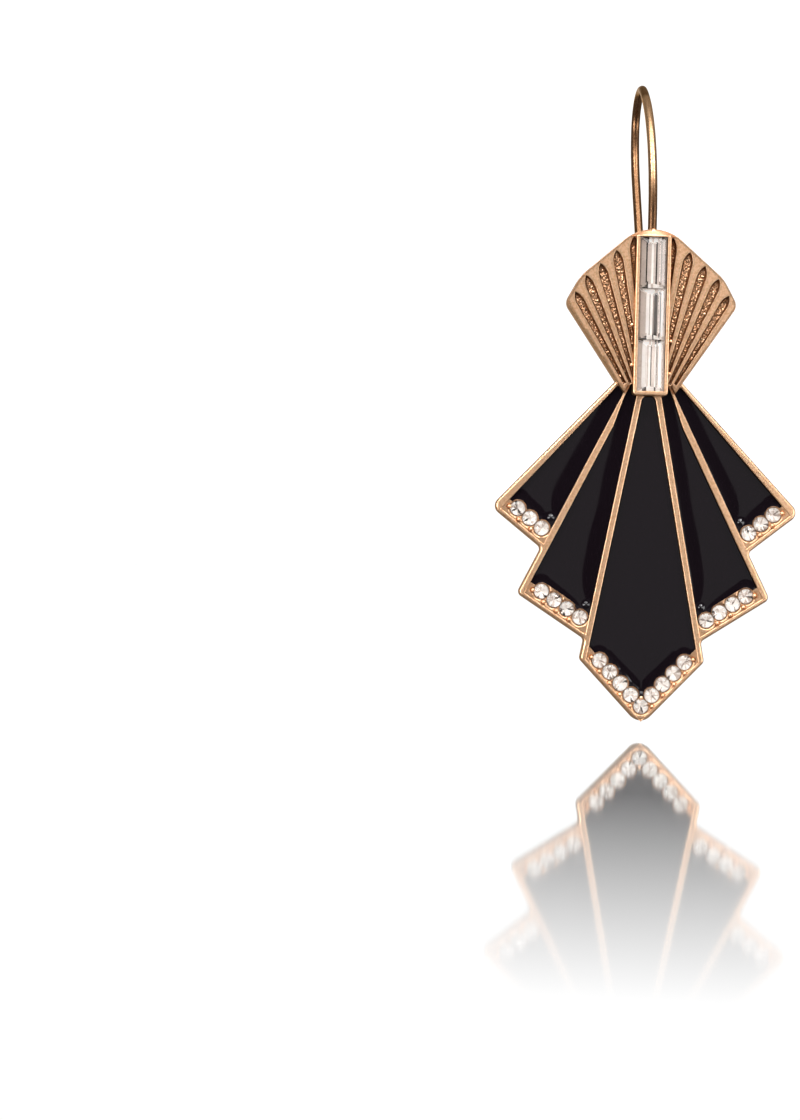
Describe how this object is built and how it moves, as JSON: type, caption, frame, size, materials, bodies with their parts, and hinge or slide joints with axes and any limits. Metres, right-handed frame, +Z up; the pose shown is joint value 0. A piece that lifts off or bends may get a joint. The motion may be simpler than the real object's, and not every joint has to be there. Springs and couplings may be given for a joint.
{
  "type": "drop earring",
  "caption": "Fan-shaped drop earring with an open ear hook, a channel of baguette stones and black enamel panels edged with small round stones.",
  "frame": {"origin": "inside top of the ear hook's bend, where the earring hangs in the ear piercing", "axes": "+Z up, -Y towards the viewer out of the enamel face, +X across the fan"},
  "size_m": [0.0302, 0.0163, 0.066],
  "materials": {
    "antique_gold": "worn antique gold",
    "hook_wire": "satin antique gold",
    "black_enamel": "gloss",
    "clear_stone": "polished"
  },
  "bodies": {
    "root": {"fan_casting": "antique_gold", "ear_hook": "hook_wire", "enamel_centre": "black_enamel", "enamel_inner_left": "black_enamel", "enamel_inner_right": "black_enamel", "enamel_outer_left": "black_enamel", "enamel_outer_right": "black_enamel", "baguette_1": "clear_stone", "baguette_2": "clear_stone", "baguette_3": "clear_stone", "stone_centre_1": "clear_stone", "stone_centre_2": "clear_stone", "stone_centre_3": "clear_stone", "stone_centre_4": "clear_stone", "stone_centre_5": "clear_stone", "stone_centre_6": "clear_stone", "stone_centre_7": "clear_stone", "stone_centre_8": "clear_stone", "stone_centre_9": "clear_stone", "stone_inner_left_1": "clear_stone", "stone_inner_left_2": "clear_stone", "stone_inner_left_3": "clear_stone", "stone_inner_left_4": "clear_stone", "stone_inner_right_1": "clear_stone", "stone_inner_right_2": "clear_stone", "stone_inner_right_3": "clear_stone", "stone_inner_right_4": "clear_stone", "stone_outer_left_1": "clear_stone", "stone_outer_left_2": "clear_stone", "stone_outer_left_3": "clear_stone", "stone_outer_right_1": "clear_stone", "stone_outer_right_2": "clear_stone", "stone_outer_right_3": "clear_stone"}
  },
  "joints": []
}
